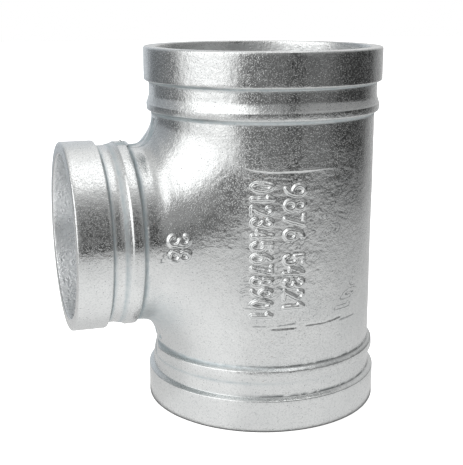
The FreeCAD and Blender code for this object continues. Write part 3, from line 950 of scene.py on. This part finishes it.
# What changes with the distance from the run's axis: where, in metres, from what and to what
# The first two are a painted contact shadow that fades out around the tee; the third paints light
# inside the tee
painted_contact_shadow, painted_shadow_fade, within, cover = [
    add(tree, "ShaderNodeMapRange", {"interpolation_type": "SMOOTHSTEP"},
        {"Value": distance.outputs["Value"], "From Min": near, "From Max": far,
         "To Min": first, "To Max": last}).outputs["Result"]
    for near, far, first, last in (
        (0.057, 0.0605, 0.10, 0.94),  # the dark line where the tee stands
        (0.062, 0.140, 0.0, 0.06),  # the board grows paler around it
        (0.040, 0.054, 0.50, 0.0),  # the board inside the tee, lit from above
        (0.06, 0.86, 1.0, 0.0),  # how far the board hides the room below it
    )]
shaded = add(tree, "ShaderNodeMath", {"operation": "ADD"}, {0: painted_contact_shadow, 1: painted_shadow_fade})
light_there = add(tree, "ShaderNodeMath", {"operation": "MAXIMUM"},
                  {0: shaded.outputs[0], 1: within})
painted_board_light = add(tree, "ShaderNodeMath", {"operation": "MULTIPLY"},
           {0: front_light.outputs[0], 1: light_there.outputs[0]})
table = add(tree, "ShaderNodeEmission", {}, {"Color": linear("#ffffff"),
                                             "Strength": painted_board_light.outputs[0]})
beyond = add(tree, "ShaderNodeBsdfTransparent", {}, {"Color": linear("#ffffff")})
mirrored = add(tree, "ShaderNodeMixShader", {}, {0: cover, 1: beyond.outputs[0],
                                                 2: table.outputs[0]})
white = add(tree, "ShaderNodeBsdfDiffuse", {}, {"Color": linear("#ffffff")})
glow = add(tree, "ShaderNodeEmission", {}, {"Color": linear("#ffffff"), "Strength": 0.75})
lit = add(tree, "ShaderNodeAddShader", {}, {0: white.outputs[0], 1: glow.outputs[0]})
path = add(tree, "ShaderNodeLightPath")
seen = add(tree, "ShaderNodeMixShader", {}, {0: path.outputs["Is Camera Ray"],
                                             1: mirrored.outputs[0], 2: lit.outputs[0]})
add(tree, "ShaderNodeOutputMaterial", {}, {"Surface": seen.outputs[0]})
floor_mesh.materials.append(board)

# The room: azimuth counted from the camera's side, to its right, and height above the horizon
world = bpy.data.worlds.new("studio")
world.use_nodes = True
tree = world.node_tree
tree.nodes.clear()
place = add(tree, "ShaderNodeTexCoord")
turned = add(tree, "ShaderNodeVectorRotate", {"rotation_type": "Z_AXIS"},
             {"Vector": place.outputs["Generated"], "Angle": math.radians(CAMERA_TURN)})
parts = add(tree, "ShaderNodeSeparateXYZ", {}, {0: turned.outputs[0]})
backwards = add(tree, "ShaderNodeMath", {"operation": "MULTIPLY"}, {0: parts.outputs["Y"], 1: -1.0})
azimuth = add(tree, "ShaderNodeMath", {"operation": "ARCTAN2"},
              {0: parts.outputs["X"], 1: backwards.outputs[0]}).outputs[0]
height = add(tree, "ShaderNodeMath", {"operation": "ARCSINE"}, {0: parts.outputs["Z"]}).outputs[0]


def in_the_room(strength, *edges):
    """The strength of a thing in the room where it shows, and 0 where it doesn't.

    Each edge is an angle with the degrees where the thing starts and those where it shows in
    full. The strength is multiplied by a smooth step for every edge.
    """
    for angle, start, full in edges:
        edge = add(tree, "ShaderNodeMapRange", {"interpolation_type": "SMOOTHSTEP"},
                   {"Value": angle, "From Min": math.radians(min(start, full)),
                    "From Max": math.radians(max(start, full)),
                    "To Min": float(start > full), "To Max": float(start < full)})
        strength = add(tree, "ShaderNodeMath", {"operation": "MULTIPLY"},
                       {0: strength, 1: edge.outputs["Result"]}).outputs[0]
    return strength


def lit_by(light, *others):
    """The sum of several lights."""
    for other in others:
        light = add(tree, "ShaderNodeMath", {"operation": "ADD"}, {0: light, 1: other}).outputs[0]
    return light


def hidden_by(light, *things):
    """A light less the share of it that each dark thing hides."""
    for thing in things:
        left = add(tree, "ShaderNodeMath", {"operation": "SUBTRACT"}, {0: 1.0, 1: thing})
        light = add(tree, "ShaderNodeMath", {"operation": "MULTIPLY"},
                    {0: light, 1: left.outputs[0]}).outputs[0]
    return light


# Walls and ceiling of the room, a skylight up on the right, and a lighter wall on the left
walls = 0.34
ceiling = in_the_room(0.38, (height, 8, 90))
skylight = in_the_room(0.85, (azimuth, 26, 43), (height, 57, 72))
left_wall = in_the_room(0.11, (azimuth, -60, -100))

# Dark things: all that stands low in the room, a door at the right, a stand beside the camera
low_left = in_the_room(0.55, (height, 7, -2), (azimuth, 8, 4), (azimuth, -152, -128))
low_right = in_the_room(0.60, (height, 7, -2), (azimuth, 4, 8))
door = in_the_room(0.70, (azimuth, 58, 84), (azimuth, 134, 122), (height, 12, 2))
stand = in_the_room(0.74, (azimuth, 20, 30), (azimuth, 40, 30), (height, 60, 35))
stand_head = in_the_room(0.45, (azimuth, 19, 25), (azimuth, 35, 29), (height, 4, 11),
                         (height, 34, 22))
room = hidden_by(lit_by(walls, ceiling, skylight, left_wall),
                 low_left, low_right, door, stand, stand_head)

# The soft box, whose right edge leans and whose upper right corner is dimmer, and a dim window
# far on the left
climb = add(tree, "ShaderNodeClamp", {}, {"Value": height, "Min": 0.0, "Max": math.radians(30.0)})
lean = add(tree, "ShaderNodeMath", {"operation": "MULTIPLY_ADD"},
           {0: climb.outputs[0], 1: -0.6, 2: math.radians(9.0)})
leaning = lit_by(azimuth, lean.outputs[0])
box = in_the_room(1.30, (azimuth, -96, -70), (leaning, -8, -30), (height, -25, -3),
                  (height, 76, 44))
box = hidden_by(box, in_the_room(0.55, (azimuth, -42, -12), (height, 32, 56)))
window = in_the_room(0.34, (azimuth, -128, -152), (azimuth, -178, -166), (height, -14, -4),
                     (height, 42, 18))

# Behind the tee hangs the white backdrop, under a lit ceiling
behind = in_the_room(lit_by(in_the_room(1.0, (azimuth, 111, 171)),
                            in_the_room(1.0, (azimuth, -160, -182))), (height, 94, 69))
backdrop = add(tree, "ShaderNodeMath", {"operation": "MULTIPLY"}, {0: behind, 1: 0.60})
lit_ceiling = add(tree, "ShaderNodeMath", {"operation": "MULTIPLY"},
                  {0: behind, 1: in_the_room(0.76, (height, 0, 62))})
shine = lit_by(room, box, window, lit_ceiling.outputs[0])
tint = add(tree, "ShaderNodeMix", {"data_type": "RGBA"},
           {"Factor": in_the_room(1.0, (azimuth, -84, -120), (height, 50, 20)),
            "A": linear("#ffffff"), "B": linear("#eff5fb")})
dim = add(tree, "ShaderNodeBackground", {}, {"Color": tint.outputs["Result"], "Strength": shine})

# The camera sees the white backdrop all round, and the metal mirrors it behind the tee
plain = add(tree, "ShaderNodeBackground", {}, {"Color": linear("#ffffff"), "Strength": 1.0})
path = add(tree, "ShaderNodeLightPath")
by_metal = lit_by(path.outputs["Is Glossy Ray"], path.outputs["Is Transmission Ray"])
by_metal = add(tree, "ShaderNodeMath", {"operation": "MULTIPLY"},
               {0: by_metal, 1: backdrop.outputs[0]})
shown = add(tree, "ShaderNodeMath", {"operation": "ADD", "use_clamp": True},
            {0: path.outputs["Is Camera Ray"], 1: by_metal.outputs[0]})
seen = add(tree, "ShaderNodeMixShader", {}, {0: shown.outputs[0], 1: dim.outputs[0],
                                             2: plain.outputs[0]})
add(tree, "ShaderNodeOutputWorld", {}, {"Surface": seen.outputs[0]})
bpy.context.scene.world = world
bpy.context.scene.view_settings.view_transform = "Standard"
